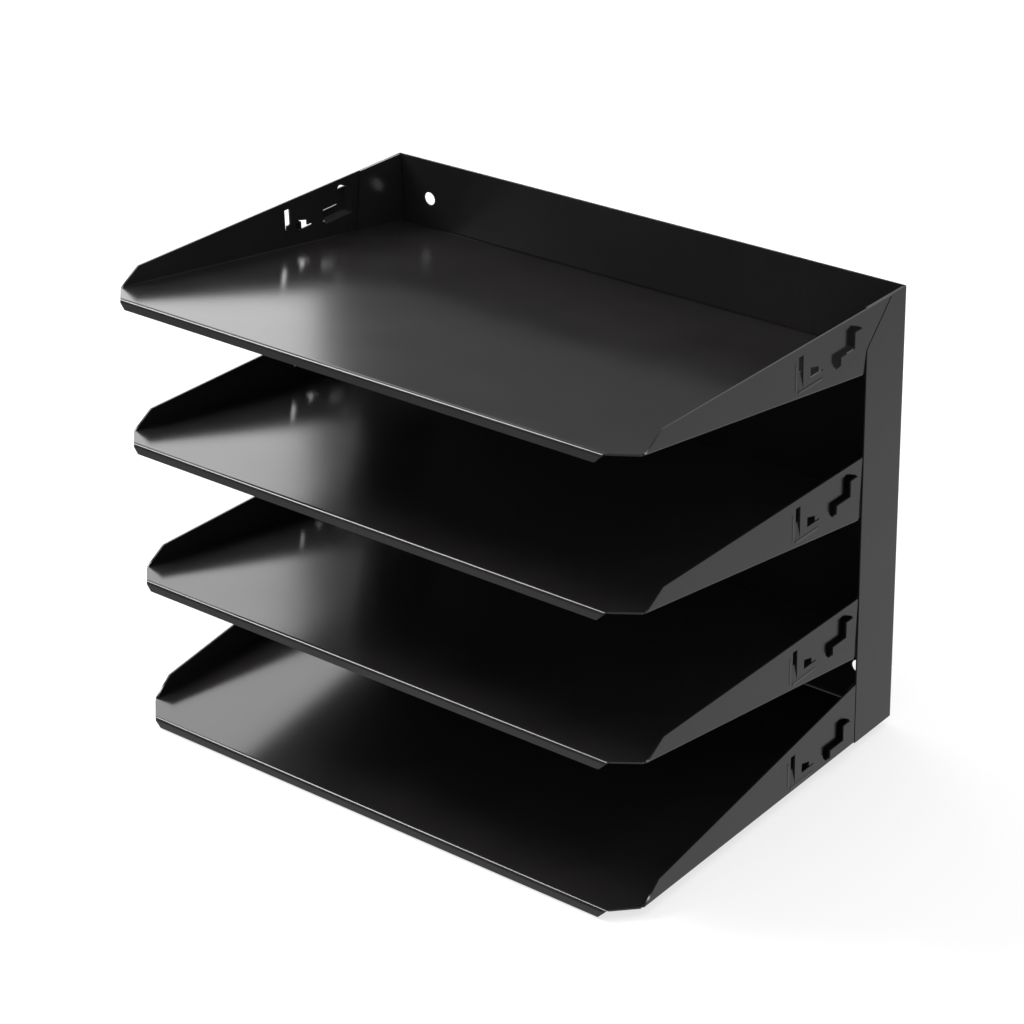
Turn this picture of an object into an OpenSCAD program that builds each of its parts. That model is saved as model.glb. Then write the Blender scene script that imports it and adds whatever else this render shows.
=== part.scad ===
// Four-tier letter tray stack in folded sheet steel.
// A back panel with two side flanges carries four trays. The upper three trays slope down
// to the back, and the bottom one is level, so that the stack can stand on its rubber feet.
// +Z is up and -Y is the front. The origin is on the table, under the middle of the stack.

/* [Sheet steel] */
// Thickness of every sheet
sheet = 0.9; // [0.9:0.1:1.2]
// Outer radius of the folds
bend_r = 1.5; // [1.4:0.1:2.2]

/* [Back panel] */
// Overall width over the side walls
body_w = 311; // [240:1:420]
// Depth of the side flanges, front to back
flange_d = 33.7; // [30:0.1:40]
// Size of the 45 degree cut at the top front corner of each flange
flange_cut = 20.5; // [12:0.5:24]
// How far the back panel rises above the back corner of the top tray
panel_rim = 0.2; // [0.2:0.1:3]
// Diameter of the wall-mount holes
mount_d = 7; // [4:0.5:9]
// Distance from the middle of a wall-mount hole to the side of the panel
mount_side = 20; // [12:0.5:40]
// Distance from the middle of a wall-mount hole to the panel's top or bottom edge
mount_end = 21.5; // [12:0.5:24]

/* [Trays] */
// Depth of a tray along its floor, from the back of the panel to the front lip
tray_d = 222.3; // [205:0.1:240]
// Rise from one tier to the next
tier_rise = 75.8; // [74:0.1:95]
// Slope of the upper three floors, in degrees
floor_slope = 9; // [7:0.5:10]
// Height of a side wall, carried back to the back of the panel
wall_rear_h = 39; // [37:0.5:42]
// Height of a side wall where its front end starts to slope
wall_front_h = 9.9; // [7:0.1:14]
// Run of the sloping front end of a side wall
wall_end_run = 10.8; // [4:0.1:16]
// How far the floor reaches past the side walls, which is also its 45 degree corner cut
nose = 13.7; // [8:0.1:20]
// Drop of the front lip below the underside of the floor
lip_drop = 4; // [2:0.1:4.5]
// Outer radius of the fold between floor and lip
lip_r = 1.9; // [1.5:0.1:2.5]
// Gap between a tray's outer wall and the front edge of the flange
wall_gap = 0.8; // [0.4:0.1:1.2]
// The same gap at the bottom corner of a sloping tray's wall
heel_gap = 3.4; // [2.5:0.1:4]
// How far the inner ears reach in front of the flange
ear_reach = 5.4; // [4.8:0.1:6]
// Gap between a tray and the folds inside the back panel
rear_gap = 0.5; // [0.2:0.1:1.5]

/* [Step louvre in the side walls] */
// Distance from the flange's front edge to the rear fold of the raised land
land_from_flange = 9; // [8.8:0.1:10]
// Width of the raised land beside the slot's upper run
land_w = 5.8; // [4:0.1:6.5]
// How far the land is raised out of the wall
land_out = 2.6; // [1.5:0.1:2.8]
// Height of the land's top edge above the base line of the pressings
land_top = 18.2; // [16:0.1:19]
// Drop of the land's top edge across its rear fold
land_corner = 0.8; // [0.4:0.1:1.5]
// Width of the slot's upright runs
step_w = 2.5; // [2:0.1:3.5]
// Height of the slot's level run
step_gap = 1.9; // [1.2:0.1:3]
// How far the lower run of the slot lies in front of the upper run
step_run = 11.5; // [9:0.1:13]
// Height of the slot's lower end above the base line
step_low = 3.3; // [2.8:0.1:4]
// Height of the upper edge of the slot's level run above the base line
step_mid = 11.9; // [10.5:0.1:13]
// Height of the slot's top end above the base line
step_top = 21; // [19.6:0.1:21.4]
// Size of the cut corner at the slot's top end
step_corner = 1.4; // [0.6:0.1:1.8]

/* [Spring finger in the side walls] */
// Distance from the flange's front edge to the middle of the finger
finger_from_flange = 55.3; // [54:0.1:57]
// Width of the finger's slot
finger_slot_w = 3.8; // [3:0.1:4.5]
// Clearance between the finger and each side of its slot
finger_gap = 0.3; // [0.2:0.1:0.6]
// Height of the finger's root above the base line
finger_root = 4.7; // [4.6:0.1:6]
// Height of the top of the finger's slot above the base line
finger_top = 20.6; // [19.5:0.1:20.8]
// Length of the finger
finger_l = 7.8; // [6:0.1:12]
// How far the finger leans into the tray, in degrees
finger_lean = 7; // [3:0.5:18]

/* [Window in the side walls] */
// Distance from the flange's front edge to the rear edge of the window
window_from_flange = 41; // [40:0.1:42.5]
// Width of the window
window_w = 6.5; // [5:0.1:7]
// Height of the window's front edge
window_front_h = 4.4; // [3.5:0.1:6]
// Height of the window's rear edge
window_rear_h = 2.7; // [2:0.1:4]
// Height of the window's sill above the base line
window_sill = 7.8; // [7:0.1:9]
// How far the tab at the window's front edge reaches into the tray
tab_in = 2; // [1:0.1:2.5]
// Length of the relief slit that runs back from under the window
relief_l = 3.7; // [2.5:0.1:4.5]
// Height of that slit
relief_h = 0.7; // [0.5:0.1:1]

/* [Beads in the side walls] */
// Radius of the shallow stiffening beads
bead_r = 2; // [1.6:0.1:2.2]
// How far a bead stands out of the wall
bead_out = 0.25; // [0.2:0.01:0.28]
// Height of the level bead above the base line
bead_level = 3.4; // [3:0.1:3.5]
// Length of the level bead, from under the finger's slot towards the back
bead_l = 19; // [14:0.5:22]
// Distance from the finger's slot to the upright bead in front of it
bead_front = 2.3; // [1.6:0.1:4]
// Length of the upright bead
bead_h = 13; // [8:0.5:14]

/* [Feet] */
// Diameter of a rubber foot
foot_d = 12; // [8:0.5:18]
// Height of a rubber foot
foot_h = 5; // [4.8:0.1:8]
// Chamfer round the bottom of a foot
foot_chamfer = 0.8; // [0.4:0.1:1.5]
// Distance from the middle of a foot to the side of the stack
foot_side = 24; // [16:0.5:50]
// Distance from the middle of a rear foot to the back of the panel
foot_rear = 22; // [14:0.5:40]
// Distance from the middle of a front foot to the front lip
foot_front = 34; // [24:0.5:60]

/* [Hidden] */
$fn = 48;

// Tiers are counted up from the level one, which is 0
top_tier = 3;
// Length of a 45 degree line that runs 1 along
diagonal = sqrt(2);
half_w = body_w / 2;
// Inside face of the flanges, which the trays' ears are welded to
inner_half = half_w - sheet;
// Distance from the back of the panel to the front end of a side wall, along the floor
wall_s = tray_d - nose;
// Reach of cutting blocks past the part
past = 20;
// Overlap that joins two stretches of one sheet
weld = 0.2;

steel_black = [0.09, 0.09, 0.1];
rubber_black = [0.05, 0.05, 0.05];

// Height of a sloping tier's floor at the back of the panel
function pivot_z(tier) = tier * tier_rise - wall_s * sin(floor_slope);

// Top of a side wall at a distance s from the back of the panel, along the floor
function wall_top(s) = wall_rear_h - (wall_rear_h - wall_front_h) * s / (wall_s - wall_end_run);

panel_h = pivot_z(top_tier) + wall_rear_h * cos(floor_slope) + panel_rim;

// Distances of the pressings from the back of the panel
land_rear = flange_d + land_from_flange;
land_foot = land_rear - land_out;
land_front = land_rear + land_w;
step_front = land_front + step_w;
step_low_front = step_front + step_run;
finger_mid = flange_d + finger_from_flange;
window_rear = flange_d + window_from_flange;
window_front = window_rear + window_w;
finger_front = finger_mid + finger_slot_w / 2;
upright_bead = finger_front + bead_front;

// Below, a point in a side view is [-distance in front of the panel's back, height]

// Side view drawn right across the stack, from x0 to x1
module across(x0, x1) {
    translate([x0, 0, 0])
        rotate([90, 0, 90])
            linear_extrude(x1 - x0)
                children();
}

// Puts the steel, which is drawn with the panel's back at y = 0 and its bottom edge at z = 0,
// in its place above the table
module on_feet() {
    translate([0, tray_d / 2, foot_h]) children();
}

module both_sides() {
    children();
    mirror([1, 0, 0]) children();
}

// Quarter of a fold in the sheet, in the quadrant of +x and -y
module fold(radius) {
    intersection() {
        difference() {
            circle(radius);
            circle(radius - sheet);
        }
        translate([0, -radius]) square(radius);
    }
}

// Sheet folded up at both sides, drawn as [x, height]
module channel_outline(half, height) {
    translate([bend_r - half, 0]) square([2 * (half - bend_r), sheet]);
    for (side = [0, 1]) mirror([side, 0]) {
        translate([half - sheet, bend_r]) square([sheet, height - bend_r]);
        translate([half - bend_r, bend_r]) fold(bend_r);
    }
}

// Back panel

module flange_corner_cut() {
    across(-half_w - past, half_w + past) polygon([
        [-flange_d - past, panel_h - flange_cut - past],
        [-flange_d + flange_cut + past, panel_h + past],
        [-flange_d - past, panel_h + past]
    ]);
}

module mount_holes() {
    for (x = [-1, 1], z = [mount_end, panel_h - mount_end])
        translate([x * (half_w - mount_side), past, z])
            rotate([90, 0, 0])
                cylinder(h = 2 * past, d = mount_d);
}

module back_panel() {
    color(steel_black) on_feet() difference() {
        linear_extrude(panel_h)
            mirror([0, 1])
                channel_outline(half_w, flange_d);
        flange_corner_cut();
        mount_holes();
    }
}

// Pressings in the side walls. They stand upright on every tray, whatever its floor's slope.
// Their base line, at z = 0 here, passes through the underside of the floor at the upright bead.

// Side view of the slot and of the room behind the raised land
module step_opening() {
    polygon([
        [-step_front, step_top - step_corner],
        [-step_front + step_corner, step_top],
        [-step_front + 2 * step_corner, step_top],
        [-land_foot - weld, land_top - land_corner],
        [-land_foot - weld, step_low + weld],
        [-step_low_front + step_w, step_low + weld],
        [-step_low_front + step_w, step_low],
        [-step_low_front, step_low + step_w],
        [-step_low_front, step_mid],
        [-step_front, step_mid]
    ]);
}

// Side view of the raised land
module land_outline() {
    polygon([
        [-land_foot, step_low],
        [-land_foot, land_top - land_corner],
        [-land_rear, land_top],
        [-land_front, land_top],
        [-land_front, step_mid - step_gap],
        [-step_low_front + step_w, step_mid - step_gap],
        [-step_low_front + step_w, step_low]
    ]);
}

// Block that rises from the wall along two 45 degree folds, behind and below the slot
module land_block() {
    reach = step_low_front + past;
    intersection() {
        translate([half_w, 0, -past]) linear_extrude(land_top + 2 * past) polygon([
            [-sheet, -reach],
            [land_out, -reach],
            [land_out, -land_rear],
            [0, -land_foot],
            [-sheet, -land_foot]
        ]);
        translate([half_w, 0, 0]) rotate([90, 0, 0]) linear_extrude(reach) polygon([
            [-sheet, land_top + past],
            [land_out, land_top + past],
            [land_out, step_low + land_out],
            [0, step_low],
            [-sheet, step_low]
        ]);
    }
}

module raised_land() {
    difference() {
        intersection() {
            land_block();
            across(half_w - past, half_w + past) land_outline();
        }
        translate([-sheet, 0, 0]) land_block();
    }
}

// Side view of the window and of the relief slit that runs back from under it
module window_opening() {
    polygon([
        [-window_front, window_sill - relief_h],
        [-window_front, window_sill + window_front_h],
        [-window_rear, window_sill + window_rear_h],
        [-window_rear, window_sill],
        [-window_rear + relief_l, window_sill],
        [-window_rear + relief_l, window_sill - relief_h]
    ]);
}

module window_tab() {
    translate([inner_half - tab_in, -window_front - sheet, window_sill])
        cube([tab_in + weld, sheet, window_front_h]);
}

module finger_slot() {
    translate([-finger_front, finger_root])
        square([finger_slot_w, finger_top - finger_root]);
}

// Drawn from the front, as [distance out of the wall's inner face, height above the root]
module finger() {
    width = finger_slot_w - 2 * finger_gap;
    tip = finger_l * [-sin(finger_lean), cos(finger_lean)];
    translate([inner_half, width / 2 - finger_mid, finger_root])
        rotate([90, 0, 0])
            linear_extrude(width) polygon([
                [0, -weld],
                [0, 0],
                tip,
                tip + sheet * [cos(finger_lean), sin(finger_lean)],
                [sheet, sheet * tan(finger_lean / 2)],
                [sheet, -weld]
            ]);
}

// Rounded ridges on the outer face of the wall
module beads() {
    intersection() {
        translate([half_w - bead_r + bead_out, 0, 0]) {
            translate([0, bead_l - finger_front, bead_level])
                rotate([90, 0, 0])
                    cylinder(h = bead_l, r = bead_r);
            translate([0, -upright_bead, finger_root])
                cylinder(h = bead_h, r = bead_r);
        }
        translate([half_w - weld, -upright_bead - past, 0])
            cube([past, upright_bead + past, wall_rear_h]);
    }
}

module pressing_openings() {
    across(half_w - 2 * sheet, half_w + past) {
        step_opening();
        window_opening();
        finger_slot();
    }
}

module pressings() {
    raised_land();
    window_tab();
    finger();
    beads();
}

// Trays, drawn level with the underside of the floor at z = 0

// What is cut off above and in front of the side walls
module wall_trim() {
    across(-half_w - past, half_w + past) polygon([
        [past, wall_top(-past)],
        [wall_end_run - wall_s, wall_front_h],
        [-wall_s, sheet],
        [-wall_s - past, sheet],
        [-wall_s - past, wall_rear_h + 2 * past],
        [past, wall_rear_h + 2 * past]
    ]);
}

// Floor and side walls between two distances from the back of the panel
module channel(half, from_s, to_s) {
    difference() {
        translate([0, -from_s, 0])
            rotate([90, 0, 0])
                linear_extrude(to_s - from_s)
                    channel_outline(half, wall_rear_h + past);
        wall_trim();
    }
}

// Floor in front of the side walls, with its corners cut at 45 degrees
module floor_nose() {
    flat_w = half_w - bend_r;
    linear_extrude(sheet) polygon([
        [flat_w, weld - wall_s],
        [flat_w, -wall_s - bend_r],
        [half_w - nose + lip_r, lip_r - tray_d],
        [-half_w + nose - lip_r, lip_r - tray_d],
        [-flat_w, -wall_s - bend_r],
        [-flat_w, weld - wall_s]
    ]);
}

// Fold and lip along the front edge. The corner cuts of the floor run on through both.
module front_lip() {
    lip_top = sheet - lip_r;
    intersection() {
        translate([0, lip_r - tray_d, 0]) {
            across(-half_w, half_w) {
                translate([0, lip_top]) rotate(180) fold(lip_r);
                translate([-lip_r, -lip_drop]) square([sheet, lip_drop + lip_top]);
            }
        }
        // The cut seen from above
        translate([0, 0, -past]) linear_extrude(2 * past) polygon([
            [half_w, -wall_s],
            [half_w - nose, -tray_d],
            [-half_w + nose, -tray_d],
            [-half_w, -wall_s]
        ]);
        // The cut seen from the front
        rotate([90, 0, 0]) linear_extrude(tray_d + past) polygon([
            [half_w - nose + lip_r, sheet],
            [half_w - nose - lip_top - lip_drop, -lip_drop],
            [-half_w + nose + lip_top + lip_drop, -lip_drop],
            [-half_w + nose - lip_r, sheet]
        ]);
    }
}

// Side view of the space that the full-width stretch of a tray keeps to, in front of the
// flange and above its corner cut. The wall's bottom rear corner is at the height low.
module clear_of_flange(low, heel) {
    cut_start = panel_h - flange_cut + wall_gap * (diagonal - 1);
    high = min(low + wall_rear_h, cut_start);
    reach = flange_cut + past;
    polygon([
        [-flange_d - heel, low - past],
        [-flange_d - heel, low],
        [-flange_d - wall_gap, high],
        [-flange_d - wall_gap + reach, high + reach],
        [-tray_d - past, high + reach],
        [-tray_d - past, low - past]
    ]);
}

module tray(tier) {
    slope = tier == 0 ? 0 : floor_slope;
    lift = tier == 0 ? 0 : pivot_z(tier);
    heel = tier == 0 ? wall_gap : heel_gap;
    low = lift + (flange_d + heel) * tan(slope);
    base = lift + upright_bead * tan(slope);
    rear = -bend_r - rear_gap;
    color(steel_black) on_feet() {
        difference() {
            union() {
                intersection() {
                    sloping(lift, slope) channel(half_w, 0, wall_s);
                    across(-half_w - past, half_w + past) clear_of_flange(low, heel);
                }
                // The stretch between the flanges, with the ears that are welded to them
                difference() {
                    sloping(lift, slope) channel(inner_half, -past, flange_d + ear_reach);
                    translate([-body_w, rear, lift - past])
                        cube([2 * body_w, 2 * past, wall_rear_h + 2 * past]);
                }
                sloping(lift, slope) {
                    floor_nose();
                    front_lip();
                }
            }
            both_sides() translate([0, 0, base]) pressing_openings();
        }
        both_sides() translate([0, 0, base]) pressings();
    }
}

// Tilts a tray about the back edge of its floor and lifts it to its tier
module sloping(lift, slope) {
    translate([0, 0, lift])
        rotate([-slope, 0, 0])
            children();
}

module tray_top() {
    tray(top_tier);
}

module tray_upper_middle() {
    tray(2);
}

module tray_lower_middle() {
    tray(1);
}

module tray_bottom() {
    tray(0);
}

// Rubber feet under the bottom tray

module foot(x, y) {
    color(rubber_black) translate([x, y, 0]) {
        cylinder(h = foot_chamfer, d1 = foot_d - 2 * foot_chamfer, d2 = foot_d);
        translate([0, 0, foot_chamfer]) cylinder(h = foot_h - foot_chamfer, d = foot_d);
    }
}

foot_x = half_w - foot_side;
foot_front_y = foot_front - tray_d / 2;
foot_rear_y = tray_d / 2 - foot_rear;

back_panel();
tray_top();
tray_upper_middle();
tray_lower_middle();
tray_bottom();
foot(-foot_x, foot_front_y);  // foot_front_left
foot(foot_x, foot_front_y);  // foot_front_right
foot(-foot_x, foot_rear_y);  // foot_rear_left
foot(foot_x, foot_rear_y);  // foot_rear_right
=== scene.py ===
"""Dresses a four-tier letter tray stack: black powder-coated sheet steel on rubber feet.

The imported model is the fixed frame. Each steel sheet gets a copy with the softened edges that
folding, pressing and coating leave, and a semi-gloss powder coat. The stack stands on a pale
studio floor under soft light.
"""

from __future__ import annotations

import logging
import math
from dataclasses import dataclass
from enum import Enum
from typing import Any

import bpy
from mathutils import Matrix, Vector

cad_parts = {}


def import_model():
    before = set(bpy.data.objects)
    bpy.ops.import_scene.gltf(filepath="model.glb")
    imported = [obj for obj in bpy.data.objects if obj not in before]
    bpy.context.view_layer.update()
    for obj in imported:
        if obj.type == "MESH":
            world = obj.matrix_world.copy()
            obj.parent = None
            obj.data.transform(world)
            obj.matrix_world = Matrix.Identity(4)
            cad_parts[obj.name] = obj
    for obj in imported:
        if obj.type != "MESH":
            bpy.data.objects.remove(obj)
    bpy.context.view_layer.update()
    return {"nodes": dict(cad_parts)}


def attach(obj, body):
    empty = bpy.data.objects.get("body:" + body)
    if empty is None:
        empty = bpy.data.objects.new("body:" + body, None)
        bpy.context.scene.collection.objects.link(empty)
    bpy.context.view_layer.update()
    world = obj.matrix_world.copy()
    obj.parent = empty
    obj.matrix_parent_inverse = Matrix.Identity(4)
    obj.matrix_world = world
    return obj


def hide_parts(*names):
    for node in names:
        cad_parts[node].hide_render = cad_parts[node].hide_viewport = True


LOG = logging.getLogger("letter_tray_stack")
MM = 0.001
BODY = "root"
Colour = tuple[float, float, float, float]
Place = tuple[float, float, float]
WHITE: Colour = (1.0, 1.0, 1.0, 1.0)


class Slot(Enum):
    """The record's material slots."""

    STEEL = "black_steel"
    RUBBER = "black_rubber"


class Sheets(Enum):
    """The steel sheets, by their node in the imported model."""

    BACK_PANEL = "back_panel"
    TRAY_TOP = "tray_top"
    TRAY_UPPER_MIDDLE = "tray_upper_middle"
    TRAY_LOWER_MIDDLE = "tray_lower_middle"
    TRAY_BOTTOM = "tray_bottom"


class Feet(Enum):
    """The rubber feet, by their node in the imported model."""

    FRONT_LEFT = "foot_front_left"
    FRONT_RIGHT = "foot_front_right"
    REAR_LEFT = "foot_rear_left"
    REAR_RIGHT = "foot_rear_right"


# Shader maths


class Signal:
    """A node's output socket that takes part in Python expressions."""

    def __init__(self, graph: Graph, socket: bpy.types.NodeSocket) -> None:
        """Wraps a socket.

        Args:
            graph: The graph that the socket belongs to.
            socket: The output socket.
        """
        self.graph = graph
        self.socket = socket

    def _math(self, operation: str, *values: Any) -> Signal:
        """Adds a Math node on the given values and returns its result."""
        return self.graph.add("ShaderNodeMath", {"operation": operation}, *values)

    def __add__(self, other: Any) -> Signal:
        """self + other."""
        return self._math("ADD", self, other)

    def __mul__(self, other: Any) -> Signal:
        """self * other."""
        return self._math("MULTIPLY", self, other)

    def __sub__(self, other: Any) -> Signal:
        """self - other."""
        return self._math("SUBTRACT", self, other)

    def at_least(self, other: Any) -> Signal:
        """The larger of self and other."""
        return self._math("MAXIMUM", self, other)


class Graph:
    """Builds the node tree of a material or of the world."""

    def __init__(self, tree: bpy.types.NodeTree) -> None:
        """Clears the tree.

        Args:
            tree: The node tree to build in.
        """
        self.tree = tree
        tree.nodes.clear()

    def add(
        self, kind: str, settings: dict[str, Any] | None, *inputs: Any, **named: Any
    ) -> Signal:
        """Adds a node.

        Args:
            kind: The node's type.
            settings: Properties of the node, set before its sockets. "stops" is a list of
                (position, colour) pairs for a ramp.
            *inputs: Values or signals for the first sockets, in order.
            **named: Values or signals for sockets by name, with _ for a space.

        Returns:
            The node's first enabled output, or an empty signal for an output node.
        """
        node = self.tree.nodes.new(kind)
        for key, value in (settings or {}).items():
            if key == "stops":
                self._set_stops(node.color_ramp, value)
            else:
                setattr(node, key, value)
        for socket, value in zip(node.inputs, inputs):
            self._feed(socket, value)
        for key, value in named.items():
            name = key.replace("_", " ")
            found = [s for s in node.inputs if s.name == name and s.enabled]
            self._feed(found[0], value)
        outputs = [s for s in node.outputs if s.enabled]
        return Signal(self, outputs[0]) if outputs else Signal(self, None)

    def output(self, signal: Signal, name: str) -> Signal:
        """Another output of the node that a signal comes from."""
        return Signal(self, signal.socket.node.outputs[name])

    def _feed(self, socket: bpy.types.NodeSocket, value: Any) -> None:
        """Links a signal to a socket, or sets the socket's value."""
        if isinstance(value, Signal):
            self.tree.links.new(value.socket, socket)
        else:
            socket.default_value = value

    @staticmethod
    def _set_stops(ramp: bpy.types.ColorRamp, stops: list[tuple[float, Colour]]) -> None:
        """Gives a ramp its stops."""
        while len(ramp.elements) < len(stops):
            ramp.elements.new(1.0)
        for element, (position, colour) in zip(ramp.elements, stops):
            element.position = position
            element.color = colour


def new_material(name: str) -> tuple[bpy.types.Material, Graph]:
    """Makes a material with an empty node tree.

    Args:
        name: The material's name.

    Returns:
        The material and its graph.
    """
    material = bpy.data.materials.new(name)
    material.use_nodes = True
    return material, Graph(material.node_tree)


# Finishes


@dataclass(frozen=True)
class PowderCoat:
    """Semi-gloss black powder coat on sheet steel."""

    name: str = "black_powder_coat"
    dark: Colour = (0.0130, 0.0119, 0.0126, 1.0)
    light: Colour = (0.0172, 0.0158, 0.0166, 1.0)
    dark_stop: float = 0.3
    light_stop: float = 0.7
    refraction: float = 1.5
    roughness: float = 0.17
    roughness_spread: float = 0.04
    patch_scale: float = 22.0
    patch_detail: float = 3.0
    patch_mean: float = 0.5
    peel_scale: float = 520.0
    peel_detail: float = 2.0
    grit_scale: float = 2600.0
    grit_detail: float = 1.0
    peel_strength: float = 0.06
    grit_strength: float = 0.03
    bump_depth: float = 0.05 * MM

    def build(self) -> bpy.types.Material:
        """Builds the material.

        Returns:
            The powder coat's material.
        """
        material, graph = new_material(self.name)
        place = graph.output(graph.add("ShaderNodeTexCoord", None), "Object")
        patches = self._noise(graph, place, self.patch_scale, self.patch_detail)
        peel = self._noise(graph, place, self.peel_scale, self.peel_detail)
        grit = self._noise(graph, place, self.grit_scale, self.grit_detail)
        colour = graph.add(
            "ShaderNodeValToRGB",
            {"stops": [(self.dark_stop, self.dark), (self.light_stop, self.light)]},
            patches,
        )
        relief = peel * self.peel_strength + grit * self.grit_strength
        normal = graph.add(
            "ShaderNodeBump", None, Strength=1.0, Distance=self.bump_depth, Height=relief
        )
        roughness = (patches - self.patch_mean) * self.roughness_spread + self.roughness
        surface = graph.add(
            "ShaderNodeBsdfPrincipled",
            None,
            Base_Color=colour,
            Roughness=roughness,
            Normal=normal,
            IOR=self.refraction,
        )
        graph.add("ShaderNodeOutputMaterial", None, surface)
        return material

    @staticmethod
    def _noise(graph: Graph, place: Signal, scale: float, detail: float) -> Signal:
        """Noise from 0 to 1 on object coordinates, in cycles per metre."""
        return graph.add("ShaderNodeTexNoise", None, Vector=place, Scale=scale, Detail=detail)


@dataclass(frozen=True)
class MattRubber:
    """Matt black rubber of the feet."""

    name: str = "black_foot_rubber"
    dark: Colour = (0.012, 0.012, 0.012, 1.0)
    light: Colour = (0.022, 0.021, 0.020, 1.0)
    dark_stop: float = 0.35
    light_stop: float = 0.65
    roughness: float = 0.7
    roughness_spread: float = 0.1
    grain_scale: float = 900.0
    grain_detail: float = 3.0
    grain_strength: float = 0.4
    bump_depth: float = 0.08 * MM

    def build(self) -> bpy.types.Material:
        """Builds the material.

        Returns:
            The rubber's material.
        """
        material, graph = new_material(self.name)
        place = graph.output(graph.add("ShaderNodeTexCoord", None), "Object")
        grain = graph.add(
            "ShaderNodeTexNoise",
            None,
            Vector=place,
            Scale=self.grain_scale,
            Detail=self.grain_detail,
        )
        colour = graph.add(
            "ShaderNodeValToRGB",
            {"stops": [(self.dark_stop, self.dark), (self.light_stop, self.light)]},
            grain,
        )
        normal = graph.add(
            "ShaderNodeBump",
            None,
            Strength=self.grain_strength,
            Distance=self.bump_depth,
            Height=grain,
        )
        surface = graph.add(
            "ShaderNodeBsdfPrincipled",
            None,
            Base_Color=colour,
            Roughness=grain * self.roughness_spread + self.roughness,
            Normal=normal,
        )
        graph.add("ShaderNodeOutputMaterial", None, surface)
        return material


# Pieces


def deselect_all() -> None:
    """Leaves no object selected."""
    bpy.ops.object.select_all(action="DESELECT")


def make_active(piece: bpy.types.Object) -> None:
    """Selects one object alone and makes it the active one."""
    deselect_all()
    piece.select_set(True)
    bpy.context.view_layer.objects.active = piece


def dress(piece: bpy.types.Object, material: bpy.types.Material) -> None:
    """Gives an object one material."""
    piece.data.materials.clear()
    piece.data.materials.append(material)


@dataclass
class SteelSheet:
    """One folded and pressed sheet, with the soft edges of the coated part."""

    node: Sheets
    source: bpy.types.Object
    finish: bpy.types.Material
    merge: float = 0.002 * MM
    flat_angle: float = math.radians(0.2)
    edge_angle: float = math.radians(35)
    edge_radius: float = 0.16 * MM
    edge_segments: int = 2
    smooth_angle: float = math.radians(40)
    face_weight: int = 100

    def build(self) -> bpy.types.Object:
        """Copies the node's mesh and rounds its edges.

        Returns:
            The piece that stands for the node.
        """
        piece = self.source.copy()
        piece.data = self.source.data.copy()
        piece.name = f"{self.node.value}_sheet"
        piece.parent = None
        bpy.context.scene.collection.objects.link(piece)
        make_active(piece)
        bpy.ops.object.mode_set(mode="EDIT")
        bpy.ops.mesh.select_all(action="SELECT")
        bpy.ops.mesh.remove_doubles(threshold=self.merge)
        bpy.ops.mesh.dissolve_limited(angle_limit=self.flat_angle)
        bpy.ops.object.mode_set(mode="OBJECT")
        self._round_edges(piece)
        bpy.ops.object.shade_smooth_by_angle(angle=self.smooth_angle)
        self._keep_faces_flat(piece)
        dress(piece, self.finish)
        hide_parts(self.node.value)
        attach(piece, BODY)
        return piece

    def _round_edges(self, piece: bpy.types.Object) -> None:
        """Rounds every sharp edge a little, as the coating does."""
        bevel = piece.modifiers.new("coated_edges", "BEVEL")
        bevel.limit_method = "ANGLE"
        bevel.angle_limit = self.edge_angle
        bevel.width = self.edge_radius
        bevel.segments = self.edge_segments
        bevel.use_clamp_overlap = True
        bpy.ops.object.modifier_apply(modifier=bevel.name)

    def _keep_faces_flat(self, piece: bpy.types.Object) -> None:
        """Lets the shading of the large faces win over that of the narrow ones between them."""
        weighted = piece.modifiers.new("flat_faces", "WEIGHTED_NORMAL")
        weighted.mode = "FACE_AREA"
        weighted.weight = self.face_weight
        weighted.keep_sharp = True
        bpy.ops.object.modifier_apply(modifier=weighted.name)


@dataclass
class RubberFoot:
    """One foot under the bottom tray."""

    node: Feet
    source: bpy.types.Object
    finish: bpy.types.Material

    def build(self) -> bpy.types.Object:
        """Dresses the foot's own node.

        Returns:
            The foot.
        """
        dress(self.source, self.finish)
        return self.source


# Studio


@dataclass
class Softbox:
    """A large, even lamp that points at the stack."""

    name: str
    place: Place
    width: float
    height: float
    power: float

    def build(self, aim: Vector) -> bpy.types.Object:
        """Adds the lamp.

        Args:
            aim: The point that the lamp faces.

        Returns:
            The lamp.
        """
        data = bpy.data.lights.new(self.name, "AREA")
        data.shape = "RECTANGLE"
        data.size = self.width
        data.size_y = self.height
        data.energy = self.power
        lamp = bpy.data.objects.new(self.name, data)
        lamp.location = self.place
        lamp.rotation_euler = (aim - Vector(self.place)).to_track_quat("-Z", "Y").to_euler()
        bpy.context.scene.collection.objects.link(lamp)
        return lamp


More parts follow.
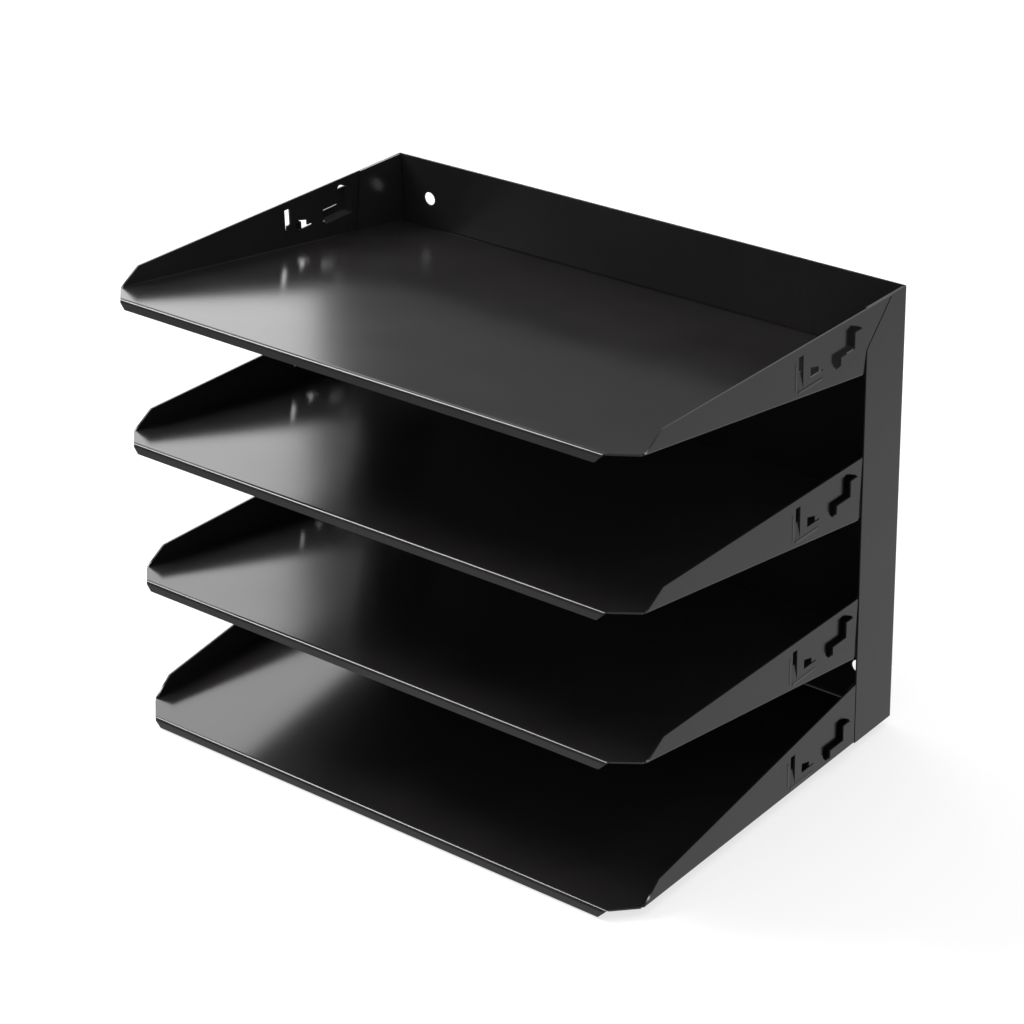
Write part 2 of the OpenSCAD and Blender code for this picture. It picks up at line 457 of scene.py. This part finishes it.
@dataclass
class Studio:
    """Pale floor, white surroundings and soft light.

    The floor fades from near to far in the stack's reflections, and from far to horizon for
    the camera, which keeps its edge from showing against the white.
    """

    floor_half: float = 6.0
    floor_colour: Colour = (0.93, 0.93, 0.93, 1.0)
    near: float = 0.35
    far: float = 1.3
    horizon: float = 3.0
    floor_glow: float = 0.6
    glow_near: float = 1.17
    glow_far: float = 1.35
    mirrored_near: float = 0.64
    mirrored_far: float = 0.4
    ambient: float = 0.65
    mirrored_sky: float = 0.15
    aim: Place = (0.0, 0.0, 0.1)
    lamps: tuple[Softbox, ...] = (
        Softbox("key_softbox", (-0.98, -0.38, 1.42), width=0.6, height=0.7, power=20.0),
        Softbox("top_softbox", (0.2, -0.2, 2.1), width=1.8, height=1.8, power=10.0),
        Softbox("rear_softbox", (-0.9, 0.48, 0.66), width=0.75, height=0.75, power=4.2),
        Softbox("edge_softbox", (-0.85, 1.05, 0.87), width=0.9, height=0.35, power=0.7),
    )

    def build(self) -> None:
        """Adds the floor, the lamps and the world."""
        self._build_floor()
        self._build_world()
        for lamp in self.lamps:
            lamp.build(Vector(self.aim))

    @staticmethod
    def _fade(graph: Graph, away: Signal, start: float, end: float, *levels: float) -> Signal:
        """Goes from the first level to the second between two distances."""
        return graph.add("ShaderNodeMapRange", None, away, start, end, *levels)

    def _build_floor(self) -> None:
        """Adds the floor, whose glow for the camera keeps part of the shadow."""
        deselect_all()
        bpy.ops.mesh.primitive_plane_add(size=2 * self.floor_half)
        floor = bpy.context.object
        floor.name = "studio_floor"
        material, graph = new_material("pale_floor")
        path = graph.add("ShaderNodeLightPath", None)
        through = graph.output(path, "Is Transmission Ray")
        place = graph.output(graph.add("ShaderNodeTexCoord", None), "Object")
        away = graph.add("ShaderNodeVectorMath", {"operation": "LENGTH"}, place)
        mirrored = self._fade(
            graph, away, self.near, self.far, self.mirrored_near, self.mirrored_far
        )
        matt = graph.add("ShaderNodeBsdfDiffuse", None, Color=self.floor_colour)
        strength = self._fade(
            graph, away, self.far, self.horizon, self.glow_near, self.glow_far
        )
        glow = graph.add("ShaderNodeEmission", None, Color=WHITE, Strength=strength)
        image = graph.add("ShaderNodeEmission", None, Color=WHITE, Strength=mirrored)
        mixed = graph.add(
            "ShaderNodeMixShader", None, path.at_least(through) * self.floor_glow, matt, glow
        )
        mixed = graph.add(
            "ShaderNodeMixShader", None, graph.output(path, "Is Glossy Ray"), mixed, image
        )
        graph.add("ShaderNodeOutputMaterial", None, mixed)
        dress(floor, material)

    def _build_world(self) -> None:
        """Makes the surroundings white to look at and softer as a light."""
        world = bpy.data.worlds.new("studio")
        world.use_nodes = True
        bpy.context.scene.world = world
        graph = Graph(world.node_tree)
        path = graph.add("ShaderNodeLightPath", None)
        seen = path.at_least(graph.output(path, "Is Transmission Ray"))
        mirrored = graph.output(path, "Is Glossy Ray")
        to_white = seen * (1.0 - self.ambient)
        to_mirrored = mirrored * (self.mirrored_sky - self.ambient)
        strength = to_white + to_mirrored + self.ambient
        surface = graph.add("ShaderNodeBackground", None, Color=WHITE, Strength=strength)
        graph.add("ShaderNodeOutputWorld", None, surface)


@dataclass(frozen=True)
class PhotoCamera:
    """Camera at the photograph's place, worked out from the stack's corners."""

    place: Place = (0.8113, -0.9852, 0.7797)
    azimuth: float = math.radians(39.315)
    elevation: float = math.radians(27.360)
    roll: float = math.radians(-1.675)
    lens: float = 103.53
    sensor: float = 36.0
    reach: float = 50.0

    def build(self) -> bpy.types.Object:
        """Adds the camera and makes it the scene's.

        Returns:
            The camera.
        """
        data = bpy.data.cameras.new("camera")
        data.lens = self.lens
        data.sensor_width = self.sensor
        data.clip_end = self.reach
        camera = bpy.data.objects.new("camera", data)
        turn = Matrix.Rotation(self.azimuth, 4, "Z")
        tilt = Matrix.Rotation(math.pi / 2 - self.elevation, 4, "X")
        roll = Matrix.Rotation(self.roll, 4, "Z")
        camera.matrix_world = Matrix.Translation(self.place) @ turn @ tilt @ roll
        bpy.context.scene.collection.objects.link(camera)
        bpy.context.scene.camera = camera
        return camera


def main() -> None:
    """Loads the frame, dresses each piece and sets up the studio."""
    logging.basicConfig(level=logging.INFO, format="%(name)s: %(message)s")
    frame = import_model()
    PhotoCamera().build()
    coat = PowderCoat().build()
    rubber = MattRubber().build()
    for node in Sheets:
        piece = SteelSheet(node, frame["nodes"][node.value], coat).build()
        LOG.info("%s: %d faces", piece.name, len(piece.data.polygons))
    for node in Feet:
        piece = RubberFoot(node, frame["nodes"][node.value], rubber).build()
        LOG.info("%s: %d faces", piece.name, len(piece.data.polygons))
    Studio().build()
    bpy.context.scene.view_settings.view_transform = "Standard"


if __name__ == "__main__":
    main()
